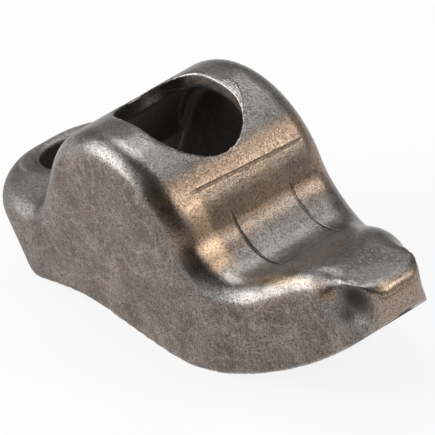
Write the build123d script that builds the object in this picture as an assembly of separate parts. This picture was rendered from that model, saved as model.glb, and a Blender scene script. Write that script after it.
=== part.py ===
from build123d import *
import os
from math import acos, atan, atan2, cos, hypot, pi, sin, tan

# Stamped steel rocker arm, standing on its rails with the open channel down.  The
# half-round seat for the fulcrum stands up in the middle, the pushrod socket is at -X
# and the valve pad at +X.  Origin: axis of the half-round seat, on the middle plane of
# the arm.  X runs along the arm, Y across it, Z up.  Millimetres.

# ---- driving dimensions -------------------------------------------------------------
# sheet and folds
sheet = 3.2             # thickness of the pressed sheet
fold_r = 3.4            # outer radius of the fold between the top and the side walls
seat_r = 14.0           # outer radius of the half-round fulcrum seat
seat_wall = 2.1         # metal left over the fulcrum, where the seat is coined
seat_length = 17.0      # length of the coined seat across the arm
body_width = 25.8       # outside width over the two side walls

# pushrod nose
nose_x = -33.3          # end of the nose
nose_inset = 1.1        # the nose is narrower than the body by this much at its end
nose_flat = 1.4         # straight stretch across the nose between its round corners
nose_z = -2.3           # height of the nose land at the foot of the seat's flank
nose_end_z = -1.5       # and at the nose's end, to which it climbs a little
nose_lean = 4.2         # the nose's end leans in by this much from the land to the rail
nose_draft = 0.8        # and each of its sides by this much
flank_gap = 3.6         # foot of the seat's flank, clear of the seat's circle
flank_r = 4.0           # hollow radius at that foot

# neck and valve pad
parallel_x0 = -2.8      # the side walls are parallel from here to the neck
taper_lead = 0.2        # and start to run in this far ahead of the neck's corner
taper_r = 40.0          # radius where a side wall starts to run in
neck_gap = 1.8          # corner of the neck's hollow, clear of the seat's circle
neck_z = -3.3
neck_r = 6.4            # radius of the neck's hollow
pad_x = 30.3            # corner of the pad's crown, and its radius
pad_z = 3.6
pad_r = 12.0
tip_x = 40.5            # end face of the tip
tip_z = 2.6             # height of the pad's slope at the end face
tip_width = 9.4         # width over the round corners of the end face
tip_root_width = 9.0    # width that the walls' own taper would give there
tip_run_x = 31.0        # from here the walls run in a little more, to the end face
tongue_width = 10.6     # width of the flat tongue that the pad ends in
tongue_x = 32.3         # the tongue stands clear of the folds from here on
tongue_end_r = 1.8      # rounding of the tongue's top end edge
tongue_edge_r = 1.0     # rounding of the tongue's top edges
tongue_corner_r = 4.5   # rounding of the tip's upright corners
dent_r = 4.5            # shallow thumb-shaped hollow in each side, beside the tongue
dent_x = 38.2
dent_web = 7.6          # metal left between the two hollows
dent_z = 0.4

# rails: the lower edges of the side walls
rail_nose_z = -13.5     # under the nose
rail_waist_x = -8.2     # station and height of the waist beside the seat
rail_waist_z = -11.7
rail_low_x = 9.0        # station and height of the lowest point
rail_low_z = -14.0
rail_rise_x = 22.0      # where the rail starts to climb to the tip
rail_rise_z = -12.6
rail_climb_x = 31.5     # half-way up the climb
rail_climb_z = -8.8
rail_tip_z = -2.2       # under the tip

# stud slot through the seat
slot_width = 12.8
slot_x0 = -7.8          # pushrod end of the slot
slot_x1 = 9.8           # valve end of the slot
slot_end0 = 6.0         # length of the rounded pushrod end
slot_end1 = 6.2         # length of the rounded valve end

# pushrod socket in the nose
socket_x = nose_x + 7.4
socket_r = 4.1          # spherical seat for the pushrod's ball end
socket_z = -1.3         # height of that ball's centre
socket_mouth_r = 1.0    # rounding of the socket's mouth
dish_r = 6.6            # shallow round dish that the socket is sunk in
dish_depth = 1.2
socket_wall = 2.6       # metal behind the socket
oil_hole_d = 2.0

# clearances for the tool bodies that are cut away or trimmed
over = 5.0
run_out = 0.4           # the walls are folded this far past the end face, then trimmed

nose_r = (body_width - nose_inset - nose_flat) / 2
flank_x = -(seat_r + flank_gap)
neck_x = seat_r + neck_gap
parallel_x1 = neck_x - taper_lead
tip_run = (body_width - tip_root_width) / 2 / (tip_x - parallel_x1)


def touch_angle(x, z, side):
    """Angle at which a line from (x, z) touches the circle of the fulcrum seat."""
    return pi / 2 + atan2(-x, z) + side * acos(seat_r / hypot(x, z))


def side_profile(base):
    """Face under the top surface, seen from the side, down to z = base."""
    left = touch_angle(flank_x, nose_z, -1)
    right = touch_angle(neck_x, neck_z, 1)
    a, m, b = [(seat_r * cos(t), seat_r * sin(t)) for t in (left, (left + right) / 2, right)]
    slope = (tip_z - pad_z) / (tip_x - pad_x)
    climb = (nose_end_z - nose_z) / (flank_x - nose_x)
    start = (nose_x - over, nose_end_z + over * climb)
    end = (tip_x + 2 * over, tip_z + 2 * over * slope)
    with BuildSketch(Plane.XZ) as sk:
        with BuildLine():
            FilletPolyline(start, (flank_x, nose_z), a, radius=flank_r)
            ThreePointArc(a, m, b)
            FilletPolyline(b, (neck_x, neck_z), (pad_x, pad_z), end, radius=[neck_r, pad_r])
            Polyline(end, (end[0], base), (start[0], base), start)
        make_face()
    return sk.sketch


def plan(z):
    """Outline of the side walls and the nose at height z, run out past the tip."""
    depth = (nose_z - z) / (nose_z - rail_nose_z)
    end, side = nose_x + nose_lean * depth, (body_width - nose_inset) / 2 - nose_draft * depth
    corner = nose_r - nose_draft * depth
    end_x = tip_x + run_out
    end_y = tip_root_width / 2 - tip_run * run_out
    half = [
        (end_x, end_y),
        (parallel_x1, body_width / 2),
        (parallel_x0, body_width / 2),
        (end, side),
    ]
    pts = half + [(x, -y) for x, y in reversed(half)]
    with BuildSketch(Plane.XY.offset(z)) as sk:
        with BuildLine():
            FilletPolyline(
                *pts, radius=[taper_r, taper_r, corner, corner, taper_r, taper_r]
            )
            Line(pts[-1], pts[0])
        make_face()
    return sk.sketch


def folded_body(inset):
    """The pressed form inset by so much from its outer skin, with its folds rounded."""
    top = offset(side_profile(base), -inset, kind=Kind.INTERSECTION) if inset else side_profile(base)
    outlines = [plan(base), plan(seat_r)]
    if inset:
        outlines = [offset(o, -inset, kind=Kind.INTERSECTION) for o in outlines]
    walls = loft([o.face() for o in outlines], ruled=True)
    body = extrude(top, body_width, both=True) & walls
    rim = [
        e for e in body.edges()
        if e.bounding_box().min.Z > base + over / 2 + inset
        and e.bounding_box().size.X > 0.05
        and e.center().X < tip_x + run_out - 0.1
    ]
    return fillet(rim, max(fold_r - inset, 0.6))


def rail_curve(drop):
    """Face under the rail line, used to trim the lower edges of the walls."""
    pts = [
        (nose_x - over, rail_nose_z),
        (nose_x + nose_r, rail_nose_z),
        (rail_waist_x, rail_waist_z),
        (rail_low_x, rail_low_z),
        (rail_rise_x, rail_rise_z),
        (rail_climb_x, rail_climb_z),
        (tip_x, rail_tip_z),
        (tip_x + over, rail_tip_z + over),
    ]
    with BuildSketch(Plane.XZ) as sk:
        with BuildLine():
            Spline(*pts)
            Polyline(pts[-1], (pts[-1][0], drop), (pts[0][0], drop), pts[0])
        make_face()
    return sk.sketch


base = rail_low_z - 2 * over

# outer skin: the folded body, cut square at the tip, with the narrow tongue of the pad
tip_box = Pos((nose_x + tip_x) / 2 - over, 0, 0) * Box(tip_x - nose_x + 2 * over, 60, 80)
skin = folded_body(0) & tip_box
tip_run_y = body_width / 2 - tip_run * (tip_run_x - parallel_x1)
with BuildSketch(Plane.XY) as tip_plan:
    with BuildLine():
        start = (nose_x - 2 * over, body_width)
        knee = (tip_run_x, tip_run_y)
        far_out = (tip_run_x, body_width)
        corner = (tip_x, tip_width / 2)
        end = (tip_x, -tip_width / 2)
        FilletPolyline(
            knee, corner, end, (knee[0], -knee[1]), radius=tongue_corner_r)
        Polyline(
            (knee[0], -knee[1]), (far_out[0], -far_out[1]), (start[0], -start[1]),
            start, far_out, knee)
    make_face()
tongue = extrude(side_profile(base), tongue_width / 2, both=True) & (
    Pos((tongue_x + tip_x) / 2, 0, 0) * Box(tip_x - tongue_x, 2 * tongue_width, 80))
tongue = tongue & extrude(tip_plan.sketch, 80, both=True)
tongue = fillet(
    [e for e in tongue.edges() if e.center().Z > tip_z - sheet / 2 and e.center().X > tongue_x + 0.1],
    tongue_edge_r)
skin = skin & extrude(tip_plan.sketch, 80, both=True)
skin = skin + tongue

# pushrod socket: a round-bottomed cup pressed into the nose, with metal behind it
boss = Pos(socket_x, 0, socket_z) * Sphere(socket_r + socket_wall)
channel = folded_body(sheet) & (
    Pos((nose_x + tip_x - over - sheet) / 2, 0, 0) * Box(tip_x - nose_x - sheet - over, 60, 80))
fulcrum = Rot(90, 0, 0) * Cylinder(seat_r - seat_wall, seat_length)
channel = (channel - boss) + fulcrum
arm = skin - channel

# rails
arm = arm - extrude(rail_curve(base - over), body_width, both=True)

# stud slot
with BuildSketch(Plane.XY) as slot:
    with Locations((slot_x0 + slot_end0, 0)):
        Ellipse(slot_end0, slot_width / 2)
    with Locations((slot_x1 - slot_end1, 0)):
        Ellipse(slot_end1, slot_width / 2)
    with Locations(((slot_x0 + slot_end0 + slot_x1 - slot_end1) / 2, 0)):
        Rectangle(slot_x1 - slot_end1 - slot_x0 - slot_end0, slot_width)
arm = arm - extrude(slot.sketch, seat_r + over)

# pushrod socket in its shallow dish, and its oil hole
land_z = nose_z + (nose_end_z - nose_z) * (flank_x - socket_x) / (flank_x - nose_x)
dish_ball_r = (dish_r**2 + dish_depth**2) / 2 / dish_depth
with BuildSketch(Plane.XZ) as cup:
    with Locations((0, land_z - dish_depth + dish_ball_r)):
        Circle(dish_ball_r)
    with Locations((0, land_z)):
        Rectangle(2 * dish_r, 2 * over, mode=Mode.INTERSECT)
    with Locations((0, socket_z)):
        Circle(socket_r)
    with Locations((-dish_r, land_z)):
        Rectangle(2 * dish_r, 8 * over, mode=Mode.SUBTRACT)
    mouth = [v for v in cup.vertices() if socket_r / 2 < v.X < (socket_r + dish_r) / 2 and v.Z < land_z]
    fillet(mouth, socket_mouth_r)
arm = arm - Pos(socket_x, 0, 0) * revolve(cup.sketch, Axis.Z)
arm = arm - Pos(socket_x, 0, socket_z) * Cylinder(oil_hole_d / 2, 4 * socket_r)

# hollows beside the tongue
for side in (-1, 1):
    arm = arm - Pos(dent_x, side * (dent_web / 2 + dent_r), dent_z) * Sphere(dent_r)

# rounded top edge of the tip
slope = (tip_z - pad_z) / (tip_x - pad_x)
reach = tongue_end_r * tan((pi / 2 + atan(slope)) / 2)
on_top = (tip_x - reach * cos(atan(slope)), tip_z - reach * sin(atan(slope)))
on_end = (tip_x, tip_z - reach)
with BuildSketch(Plane.XZ) as edge_cut:
    with BuildLine():
        TangentArc(on_top, on_end, tangent=(1, slope))
        Polyline(
            on_end, (tip_x + over, on_end[1]), (tip_x + over, tip_z + over),
            (on_top[0], tip_z + over), on_top)
    make_face()
arm = arm - extrude(edge_cut.sketch, body_width, both=True)

os.makedirs("parts", exist_ok=True)
arm = arm.solids().sort_by(lambda b: b.volume)[-1]
arm.label = "rocker_arm"
export_step(arm, "parts/rocker_arm.step")
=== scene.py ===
from math import cos, radians, sin

import bmesh
import bpy
import numpy as np
from mathutils import Matrix, Vector, kdtree


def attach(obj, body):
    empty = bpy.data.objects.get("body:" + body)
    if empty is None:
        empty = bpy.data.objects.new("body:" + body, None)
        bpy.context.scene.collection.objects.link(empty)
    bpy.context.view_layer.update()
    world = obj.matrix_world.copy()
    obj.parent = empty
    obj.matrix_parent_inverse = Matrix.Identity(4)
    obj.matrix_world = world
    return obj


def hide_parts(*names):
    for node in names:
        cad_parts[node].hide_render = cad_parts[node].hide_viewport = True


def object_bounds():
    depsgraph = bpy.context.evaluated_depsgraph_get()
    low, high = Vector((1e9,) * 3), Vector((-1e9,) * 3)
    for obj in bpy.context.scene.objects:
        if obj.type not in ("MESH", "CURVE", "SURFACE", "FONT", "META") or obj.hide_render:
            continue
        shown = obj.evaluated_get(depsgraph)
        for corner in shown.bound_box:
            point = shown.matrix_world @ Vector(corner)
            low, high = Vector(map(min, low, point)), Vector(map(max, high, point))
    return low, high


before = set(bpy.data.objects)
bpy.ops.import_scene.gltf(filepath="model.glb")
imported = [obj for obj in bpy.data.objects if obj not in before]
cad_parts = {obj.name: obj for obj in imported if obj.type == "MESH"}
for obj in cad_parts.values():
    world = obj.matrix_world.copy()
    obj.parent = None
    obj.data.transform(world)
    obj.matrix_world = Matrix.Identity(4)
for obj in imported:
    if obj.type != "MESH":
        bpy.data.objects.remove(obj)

cad_box = [list(corner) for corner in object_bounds()]
bpy.ops.object.select_all(action="DESELECT")


# ---- The arm --------------------------------------------------------------------------
# One pressing of steel sheet, folded over a die: half-round seat, walls, pushrod nose
# and valve pad.  Its skin is the pressed form with every sheared edge a little rounded.
weld_distance = 0.000004
sheared_turn = radians(30)
edge_step = 0.0002
skin_grain = 0.000316
hollow_passes = 45
quick_passes, full_passes = 60, 160
edge_give, face_give = 0.00011, 0.00003
tongue_top, tongue_slope = 0.00657, 0.098
seat_r, seat_half_width = 0.0126, 0.0096
shaded_seat_r = 0.0125
slice_length = 0.0005
nose_foot = -0.0300

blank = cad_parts["rocker_arm"]
arm = bpy.data.objects.new("pressed_arm", blank.data.copy())
bpy.context.scene.collection.objects.link(arm)
bpy.context.view_layer.objects.active = arm
arm.select_set(True)
bpy.ops.mesh.customdata_custom_splitnormals_clear()
bpy.ops.object.mode_set(mode="EDIT")
bpy.ops.mesh.select_all(action="SELECT")
bpy.ops.mesh.remove_doubles(threshold=weld_distance)
bpy.ops.object.mode_set(mode="OBJECT")

# where the sheared edges run: every edge of the pressing that turns sharply
shape = bmesh.new()
shape.from_mesh(arm.data)
sheared = []
for edge in shape.edges:
    if len(edge.link_faces) == 2 and edge.calc_face_angle(0.0) > sheared_turn:
        a, b = (v.co for v in edge.verts)
        steps = max(1, int((b - a).length / edge_step))
        sheared += [a.lerp(b, i / steps) for i in range(steps + 1)]
shape.free()
near_edge = kdtree.KDTree(len(sheared))
for i, point in enumerate(sheared):
    near_edge.insert(point, i)
near_edge.balance()

arm.data.remesh_voxel_size = skin_grain
arm.data.use_remesh_preserve_attributes = False
bpy.ops.object.voxel_remesh()


def planish(mesh, give, passes):
    """Evens the skin out, moving no point further than its give from where it was."""
    count = len(mesh.vertices)
    start = np.empty(count * 3, np.float32)
    mesh.vertices.foreach_get("co", start)
    start = start.reshape(-1, 3).astype(float)
    pairs = np.empty(len(mesh.edges) * 2, np.int32)
    mesh.edges.foreach_get("vertices", pairs)
    a, b = pairs.reshape(-1, 2).T
    ends, others = np.concatenate([a, b]), np.concatenate([b, a])
    valence = np.maximum(np.bincount(ends, minlength=count), 1)[:, None]
    now = start.copy()
    for i in range(passes):
        mean = np.stack(
            [np.bincount(ends, now[others, k], count) for k in range(3)], 1) / valence
        now += 0.55 * (mean - now)
        moved = now - start
        far = np.linalg.norm(moved, axis=1, keepdims=True)
        now = start + moved * np.minimum(1.0, give[:, None] / np.maximum(far, 1e-12))
    mesh.vertices.foreach_set("co", now.astype(np.float32).ravel())
    mesh.update()


away = np.array([near_edge.find(v.co)[2] for v in arm.data.vertices])
skin = np.array([v.co for v in arm.data.vertices])
links_of = np.array([edge.vertices for edge in arm.data.edges])

# the skin slackens in the thumb hollows beside the tongue, at the fold's ends and at the
# tongue's corners, so that their rims run softly into the walls
across = np.abs(skin[:, 1])


def reach(x, y, z):
    """How far each point of the skin is from a point, or from its twin across the arm."""
    return np.sqrt((skin[:, 0] - x) ** 2 + (across - y) ** 2 + (skin[:, 2] - z) ** 2)


hollow_ball = reach(0.0382, 0.0083, 0.0004)
fold_end = reach(0.0338, 0.0054, 0.0026)
tongue_corner = reach(0.0396, 0.0036, 0.0022)
under_top = tongue_top - tongue_slope * skin[:, 0] - skin[:, 2]
slack = np.clip((0.0058 - hollow_ball) / 0.0010, 0, 1)
slack *= np.clip((under_top - 0.0005) / 0.0008, 0, 1)
slack = np.maximum(slack, np.clip((0.0027 - fold_end) / 0.0014, 0, 1) * 0.9)
slack = np.maximum(slack, np.clip((0.0022 - tongue_corner) / 0.0014, 0, 1) * 0.6)
slack = slack * slack * (3 - 2 * slack)
free = slack > 0
ends, others = np.concatenate([links_of, links_of[:, ::-1]]).T
keep = free[ends]
ends, others = ends[keep], others[keep]
neighbours = np.maximum(np.bincount(ends, minlength=len(skin)), 1)
for i in range(hollow_passes):
    mean = np.stack(
        [np.bincount(ends, skin[others, k], len(skin)) / neighbours for k in range(3)], 1)
    skin[free] += 0.5 * slack[free, None] * (mean[free] - skin[free])
arm.data.vertices.foreach_set("co", skin.astype(np.float32).ravel())
arm.data.update()

give = np.where((away < 0.0005) & ~free, edge_give, face_give)
planish(arm.data, give, full_passes)
bpy.ops.object.shade_smooth()

# how near each point is to a sheared edge, where handling has worn the skin bright
rubbed = np.clip(1.0 - away / 0.0007, 0.0, 1.0)
from_axis = np.hypot(skin[:, 0], skin[:, 2])
below_tip = (skin[:, 0] > 0.036) & (skin[:, 2] < 0)
in_seat = (from_axis < seat_r) & (across < seat_half_width)
rubbed[free | below_tip | in_seat] = 0.0
worn = arm.data.attributes.new("worn", "FLOAT", "POINT")
worn.data.foreach_set("value", rubbed.astype(np.float32))

# painted shade within the folded walls: faces that look in or down, and the underside of the
# seat
lean = np.empty(len(skin) * 3, np.float32)
arm.data.vertex_normals.foreach_get("vector", lean)
lean = lean.reshape(-1, 3)
slice_of = ((skin[:, 0] - skin[:, 0].min()) / slice_length).astype(int)
half = np.zeros(slice_of.max() + 1)
np.maximum.at(half, slice_of, across)
room = np.clip((half[slice_of] - across - 0.0021) / 0.0005, 0, 1)
looks_in = np.clip((-np.sign(skin[:, 1]) * lean[:, 1] - 0.2) / 0.4, 0, 1)
looks_down = np.clip((-lean[:, 2] - 0.3) / 0.3, 0, 1)
under_seat = np.clip((shaded_seat_r - from_axis) / 0.0004, 0, 1)
looks = np.maximum(looks_in, looks_down) * np.clip((0.0116 - skin[:, 2]) / 0.0008, 0, 1)
inner_shade_share = room * np.maximum(looks, under_seat) * (skin[:, 0] > nose_foot)
inner_shade_layer = arm.data.attributes.new("inner_shade_layer", "FLOAT", "POINT")
inner_shade_layer.data.foreach_set("value", inner_shade_share.astype(np.float32))

# The steel: a heat-treated skin, brown-grey and matte on the walls, darker and smoother
# where the die burnished the top. Straw-coloured bands on the seat's valve flank are a
# painted warm reflection, and shade is painted into the hollows and the channel.
brown_dark, brown_pale = (0.185, 0.146, 0.124, 1), (0.335, 0.280, 0.248, 1)
brown_cloud = (0.185, 0.165, 0.150, 1)
press_pale = (0.520, 0.450, 0.410, 1)
burnished_dark, burnished_pale = (0.215, 0.200, 0.188, 1), (0.330, 0.310, 0.292, 1)
rubbed_dark = (0.080, 0.066, 0.058, 1)
nose_grey, pad_grey = (0.120, 0.112, 0.105, 1), (0.105, 0.104, 0.100, 1)
warm_reflection_colour = (0.360, 0.235, 0.140, 1)
gold_highlight_colour = (0.820, 0.580, 0.380, 1)
tip_tan, lip_highlight_colour = (0.400, 0.310, 0.255, 1), (0.900, 0.640, 0.420, 1)
seam_brown = (0.200, 0.140, 0.100, 1)
pit_dark, grain_pale = (0.045, 0.037, 0.031, 1), (0.52, 0.47, 0.43, 1)
hollow_shade_black = (0.050, 0.038, 0.030, 1)
inner_shade_black = (0.018, 0.015, 0.013, 1)
bright_steel = (0.560, 0.520, 0.480, 1)
crease_shade_dark, crescent_highlight_pale = (0.035, 0.030, 0.026, 1), (0.62, 0.60, 0.57, 1)
bump_depth = 0.00028


def wire(nodes, links, kind, inputs=(), **settings):
    node = nodes.new(kind)
    for name, value in settings.items():
        setattr(node, name, value)
    for socket, value in dict(inputs).items():
        if isinstance(value, bpy.types.NodeSocket):
            links.new(value, node.inputs[socket])
        else:
            node.inputs[socket].default_value = value
    return node


steel = bpy.data.materials.new("heat-treated steel")
steel.use_nodes = True
nodes, links = steel.node_tree.nodes, steel.node_tree.links
nodes.clear()


def sum_up(op, a, b=0.0, c=0.0):
    return wire(nodes, links, "ShaderNodeMath", {0: a, 1: b, 2: c}, operation=op).outputs[0]


def both(*shares):
    product = shares[0]
    for share in shares[1:]:
        product = sum_up("MULTIPLY", product, share)
    return product


def ramp(value, low, high, to_low=0.0, to_high=1.0):
    return wire(
        nodes, links, "ShaderNodeMapRange",
        {"Value": value, "From Min": low, "From Max": high,
         "To Min": to_low, "To Max": to_high},
        interpolation_type="SMOOTHSTEP").outputs["Result"]


def around(value, middle, half, soft):
    """1 within half of the middle, falling to 0 over soft."""
    off = sum_up("ABSOLUTE", sum_up("SUBTRACT", value, middle))
    return ramp(off, half + soft, half)


def noise(scale, detail=4.0, rough=0.55, at=None, distortion=0.0):
    return wire(
        nodes, links, "ShaderNodeTexNoise",
        {"Vector": at or place, "Scale": scale, "Detail": detail, "Roughness": rough,
         "Distortion": distortion}).outputs["Fac"]


def stretched(turn, scale):
    return wire(nodes, links, "ShaderNodeMapping",
                {"Vector": place, "Rotation": turn, "Scale": scale}).outputs["Vector"]


def blend(fac, a, b):
    node = nodes.new("ShaderNodeMix")
    node.data_type = "RGBA"
    for socket, value in ((0, fac), (6, a), (7, b)):
        if isinstance(value, bpy.types.NodeSocket):
            links.new(value, node.inputs[socket])
        else:
            node.inputs[socket].default_value = value
    return node.outputs[2]


def apart(point, *parts):
    """How far the place with these parts is from a point, in mm."""
    here = wire(nodes, links, "ShaderNodeCombineXYZ", dict(enumerate(parts))).outputs[0]
    return wire(nodes, links, "ShaderNodeVectorMath", {0: here, 1: point},
                operation="DISTANCE").outputs["Value"]


coords = wire(nodes, links, "ShaderNodeTexCoord")
in_mm = (1000.0, 1000.0, 1000.0)
place = wire(nodes, links, "ShaderNodeMapping",
             {"Vector": coords.outputs["Object"], "Scale": in_mm}).outputs["Vector"]
x, y, z = wire(nodes, links, "ShaderNodeSeparateXYZ", {0: place}).outputs
geometry = wire(nodes, links, "ShaderNodeNewGeometry")
normal = geometry.outputs["Normal"]
nx, ny, nz = wire(nodes, links, "ShaderNodeSeparateXYZ", {0: normal}).outputs

on_wall = ramp(sum_up("ABSOLUTE", ny), 0.80, 0.96)
wear = wire(nodes, links, "ShaderNodeAttribute", attribute_name="worn").outputs["Fac"]
on_nose = both(ramp(x, -16.0, -21.0), ramp(z, 1.5, 0.0))
on_top = sum_up("SUBTRACT", 1.0, on_wall)
mottle = noise(0.22, 5.0, 0.62)
cloud = noise(0.075, 3.0, 0.5)
grain = noise(1.9, 6.0, 0.75)
speck = noise(4.6, 4.0, 0.65)
rubs = noise(1.0, 4.0, 0.6, at=stretched((0, radians(-15), 0), (2.6, 2.6, 0.16)))
swirl = noise(0.085, 2.0, 0.45, distortion=0.9)
drawn = noise(1.0, 4.0, 0.6, at=stretched((0, 0, 0), (0.10, 2.2, 0.10)))

wall_tint = blend(ramp(mottle, 0.33, 0.68), brown_dark, brown_pale)
wall_tint = blend(ramp(cloud, 0.42, 0.62, 0.0, 0.40), wall_tint, brown_cloud)
press_line = sum_up("MAXIMUM", around(swirl, 0.47, 0.002, 0.020),
                    around(swirl, 0.58, 0.001, 0.012))
wall_tint = blend(both(press_line, 0.28), wall_tint, press_pale)
top_tint = blend(ramp(mottle, 0.33, 0.70), burnished_dark, burnished_pale)
tint = blend(on_wall, top_tint, wall_tint)
streaks = both(ramp(rubs, 0.50, 0.66), on_wall, ramp(x, 4.0, 12.0, 0.35, 1.0))
tint = blend(both(streaks, 0.30), tint, rubbed_dark)
tint = blend(both(on_nose, 0.25), tint, nose_grey)
pad = both(ramp(x, 28.0, 31.0), ramp(nz, 0.85, 0.97), ramp(y, 4.0, -3.0, 0.6, 1.0))
tint = blend(both(pad, 0.32), tint, pad_grey)

# painted warm reflection: straw bands over the seat's valve flank and the fold beside it,
# and a painted warm highlight on the tip's rounding
patchy = ramp(noise(0.16, 4.0, 0.6), 0.38, 0.62)
flank = both(around(z, 5.6, 3.6, 2.4), ramp(x, 8.0, 10.0), ramp(x, 19.0, 15.0))
high_band = both(around(z, 8.6, 0.7, 1.6), flank)
low_band = both(around(z, 3.6, 0.8, 1.8), flank)
corner = both(around(z, 4.6, 3.2, 2.2), around(y, -7.6, 1.0, 1.6), ramp(x, 9.0, 11.0))
spot = both(around(z, 1.2, 0.9, 1.6), around(y, -8.6, 0.8, 1.2), around(x, 15.0, 1.0, 1.5))
tip = both(ramp(x, 39.0, 40.3), ramp(sum_up("ABSOLUTE", y), 4.9, 4.2))
bands = sum_up("MAXIMUM", both(high_band, 0.9),
               both(low_band, ramp(patchy, 0.0, 1.0, 0.6, 1.0)))
bands = sum_up("MAXIMUM", bands, both(flank, ramp(patchy, 0.0, 1.0, 0.5, 0.8)))
bands = sum_up("MAXIMUM", bands, sum_up("MAXIMUM", corner, spot))
# painted warm reflection, on faces that turn toward the valve end and the near side
warm_reflection = both(bands, ramp(ny, -0.95, -0.75), ramp(nx, 0.15, 0.45))
warm_reflection = sum_up("MAXIMUM", warm_reflection, both(tip, ramp(nz, 0.98, 0.6), ramp(mottle, 0.3, 0.55)))
tint = blend(both(warm_reflection, 0.85), tint, warm_reflection_colour)
# painted gold highlights: a patch where the flank meets the near fold, and a spot low on the
# flank
gold_highlight = sum_up("MAXIMUM", both(corner, ramp(z, 7.9, 6.9), ramp(y, -6.2, -7.2)), spot)
gold_highlight = both(gold_highlight, ramp(ny, -0.85, -0.5))
tint = blend(both(gold_highlight, 0.75), tint, gold_highlight_colour)
tint = blend(both(tip, 0.6), tint, tip_tan)
# painted copper highlight along the top edge of the tip's end face, strongest on the near side
lip_highlight = both(tip, around(z, 2.2, 0.3, 0.4), ramp(y, 0.5, -2.5, 0.0, 1.0))
tint = blend(lip_highlight, tint, lip_highlight_colour)
seam = both(tip, around(z, 1.0, 0.02, 0.25))
tint = blend(both(seam, 0.6), tint, seam_brown)

# the drawn and pitted grain, dark in its hollows
tint = blend(ramp(speck, 0.50, 0.59, 0.0, 0.70), tint, pit_dark)
tint = blend(ramp(grain, 0.52, 0.66, 0.0, 0.45), tint, grain_pale)

# painted shade darkening the hollows beside the tongue
beside = apart((37.3, 4.9, 0.7), x, sum_up("ABSOLUTE", y), z)
hollow_shade = both(ramp(beside, 3.3, 0.9), ramp(nz, 0.9, 0.6))
tint = blend(both(hollow_shade, 0.92), tint, hollow_shade_black)

# painted shade darkening the channel within the walls, the seat's underside and the cup
inner_shade = wire(nodes, links, "ShaderNodeAttribute", attribute_name="inner_shade_layer").outputs["Fac"]
from_cup = apart((-25.9, 0, 0), x, y)
cup_shade = both(ramp(from_cup, 4.6, 3.4), ramp(z, -2.6, -3.2), ramp(z, -10.0, -9.0))
dark = sum_up("MAXIMUM", inner_shade, cup_shade)
tint = blend(both(dark, 0.85), tint, inner_shade_black)

# bright metal where the sheared edges are worn
tint = blend(ramp(wear, 0.45, 1.0, 0.0, 0.55), tint, bright_steel)

# marks left by the press: a crease across the flank, a stamped outline in the neck,
# a crescent each side of the slot
u_side = sum_up("SUBTRACT", sum_up("ABSOLUTE", sum_up("SUBTRACT", y, 1.1)), 4.6)
u_line = both(around(u_side, 0.0, 0.05, 0.22), ramp(x, 13.2, 13.8), ramp(x, 22.5, 20.5),
              ramp(nz, -0.1, 0.2), ramp(y, 4.0, 0.0, 0.5, 1.0))
u_foot = both(around(x, 22.0, 0.05, 0.3), ramp(u_side, 0.1, -0.2), ramp(nz, 0.4, 0.6))
crease = both(around(sum_up("SUBTRACT", z, sum_up("MULTIPLY", y, -0.05)), 7.75, 0.03, 0.22),
              ramp(x, 10.0, 11.0), ramp(y, -8.2, -6.0), ramp(y, 10.8, 8.5))
arc = apart((1.2, 0, 0), x, y)
crescent = both(around(arc, 8.0, 0.02, 0.16), around(x, 5.2, 1.6, 0.8), ramp(nz, 0.5, 0.7))
marks = sum_up("MAXIMUM", sum_up("MAXIMUM", u_line, both(u_foot, 0.6)), both(crease, 0.65))
# painted shade darkening the crease and the stamped outline, over their bumped relief
tint = blend(both(marks, 0.65), tint, crease_shade_dark)
# painted highlight along the crescents, over their bumped relief
tint = blend(both(crescent, 0.3), tint, crescent_highlight_pale)

# rougher on the walls than on the burnished top, and roughest where shade is painted into the
# channel, the cup and the hollows
matte = ramp(sum_up("MAXIMUM", on_wall, both(on_nose, 0.7)), 0.0, 1.0, 0.27, 0.55)
rough = sum_up("ADD", matte, ramp(mottle, 0.3, 0.7, -0.04, 0.07))
rough = sum_up("ADD", rough, ramp(speck, 0.4, 0.7, 0.0, 0.12))
rough = sum_up("MAXIMUM", rough, sum_up("MULTIPLY", sum_up("MAXIMUM", dark, hollow_shade), 0.75))

height = sum_up("ADD", sum_up("MULTIPLY", grain, 0.16), sum_up("MULTIPLY", speck, 0.10))
height = sum_up("ADD", height, both(mottle, 0.25))
height = sum_up("ADD", height, both(drawn, on_top, 0.10))
height = sum_up("ADD", height, both(rubs, on_wall, 0.12))
height = sum_up("SUBTRACT", height, both(marks, 0.55))
height = sum_up("ADD", height, both(crescent, 0.25))
bump = wire(nodes, links, "ShaderNodeBump",
            {"Height": height, "Strength": 0.7, "Distance": bump_depth})

surface = wire(
    nodes, links, "ShaderNodeBsdfPrincipled",
    {"Base Color": tint, "Metallic": 0.9, "Roughness": rough, "Normal": bump.outputs["Normal"]})
wire(nodes, links, "ShaderNodeOutputMaterial", {"Surface": surface.outputs[0]})
arm.data.materials.clear()
arm.data.materials.append(steel)
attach(arm, "root")
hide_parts("rocker_arm")


# ---- Floor and backdrop -----------------------------------------------------------------
# A plain white sheet that runs past the view on every side.  The arm rests on it on the
# low points of its two rails.
paper_white = (0.86, 0.86, 0.86, 1)
glow_share = 0.88
dark_side = (0.56, -0.53, 0.63)
sky_bright, sky_dim = 0.27, 0.015

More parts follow.
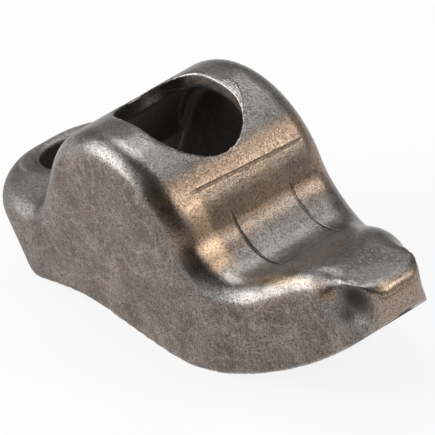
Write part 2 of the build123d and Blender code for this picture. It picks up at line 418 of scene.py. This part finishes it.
low = cad_box[0][2]
bpy.ops.mesh.primitive_plane_add(size=6.0, location=(0, 0, low))
floor = bpy.context.active_object
floor.name = "floor"
bpy.ops.object.transform_apply(location=True, rotation=False, scale=False)
paper = bpy.data.materials.new("white paper")
paper.use_nodes = True
nodes, links = paper.node_tree.nodes, paper.node_tree.links
nodes.clear()
flat_white = wire(nodes, links, "ShaderNodeBsdfDiffuse", {"Color": paper_white})
glow = wire(nodes, links, "ShaderNodeEmission", {"Color": (1, 1, 1, 1), "Strength": 1.0})
seen = wire(nodes, links, "ShaderNodeLightPath")
shown = sum_up("MAXIMUM", seen.outputs["Is Camera Ray"], seen.outputs["Is Glossy Ray"])
sheet = wire(nodes, links, "ShaderNodeMixShader", {
    0: both(shown, glow_share), 1: flat_white.outputs[0], 2: glow.outputs[0]})
wire(nodes, links, "ShaderNodeOutputMaterial", {"Surface": sheet.outputs[0]})
floor.data.materials.append(paper)

# the studio's walls: dim behind the camera and over it, brighter on the far side
world = bpy.data.worlds.new("studio")
bpy.context.scene.world = world
world.use_nodes = True
nodes, links = world.node_tree.nodes, world.node_tree.links
nodes.clear()
way = wire(nodes, links, "ShaderNodeTexCoord")
gloom = wire(
    nodes, links, "ShaderNodeVectorMath", {0: way.outputs["Generated"], 1: dark_side},
    operation="DOT_PRODUCT").outputs["Value"]
level = ramp(gloom, -0.3, 0.8, sky_bright, sky_dim)
sky = wire(nodes, links, "ShaderNodeBackground", {"Color": (1, 1, 1, 1), "Strength": level})
wire(nodes, links, "ShaderNodeOutputWorld", {"Surface": sky.outputs[0]})


# ---- Lamps ------------------------------------------------------------------------------
# Five soft boxes: a broad one and a low one off the wall that the camera sees, two high
# over the other wall, and a long one past the valve end.  Degrees, metres and watts.
def softbox(name, turn, rise, distance, width, depth, power):
    a, h = radians(turn), radians(rise)
    at = Vector((sin(a) * cos(h), -cos(a) * cos(h), sin(h))) * distance
    bpy.ops.object.light_add(type="AREA", location=at)
    lamp = bpy.context.active_object
    lamp.name = name
    lamp.data.shape = "RECTANGLE"
    lamp.data.size = width
    lamp.data.size_y = depth
    lamp.data.energy = power
    lamp.rotation_euler = at.to_track_quat("Z", "Y").to_euler()


softbox("main box", -42, 30, 0.6, 0.44, 0.38, 2.6)
softbox("low box", -26, 15, 0.6, 0.18, 0.12, 0.45)
softbox("top box", -125, 67, 0.6, 0.26, 0.24, 1.25)
softbox("side box", 125, 31, 0.7, 0.44, 0.17, 1.25)
softbox("small box", 152, 62, 0.6, 0.20, 0.16, 0.36)


# ---- Camera -----------------------------------------------------------------------------
# A long lens, a little above the arm, off its valve end and near side.
azimuth, elevation, roll = radians(56.00), radians(30.61), radians(11.58)
camera_distance = 0.65
pixels_per_metre = 7993.3
frame_pixels = 435.0
origin_across, origin_down = 190.09, 195.15

back = Vector((
    sin(azimuth) * cos(elevation), -cos(azimuth) * cos(elevation), sin(elevation)))
level_right = Vector((cos(azimuth), sin(azimuth), 0))
level_up = back.cross(level_right)
right = level_right * cos(roll) - level_up * sin(roll)
up = level_right * sin(roll) + level_up * cos(roll)
view = bpy.data.cameras.new("view")
view.sensor_width = 36.0
view.lens = view.sensor_width * pixels_per_metre * camera_distance / frame_pixels
view.clip_start = 0.05
camera = bpy.data.objects.new("view", view)
bpy.context.scene.collection.objects.link(camera)
stand = back * camera_distance
stand += right * ((frame_pixels / 2 - origin_across) / pixels_per_metre)
stand -= up * ((frame_pixels / 2 - origin_down) / pixels_per_metre)
camera.matrix_world = Matrix((
    (right.x, up.x, back.x, stand.x),
    (right.y, up.y, back.y, stand.y),
    (right.z, up.z, back.z, stand.z),
    (0, 0, 0, 1)))
bpy.context.scene.camera = camera
bpy.context.scene.view_settings.view_transform = "Standard"
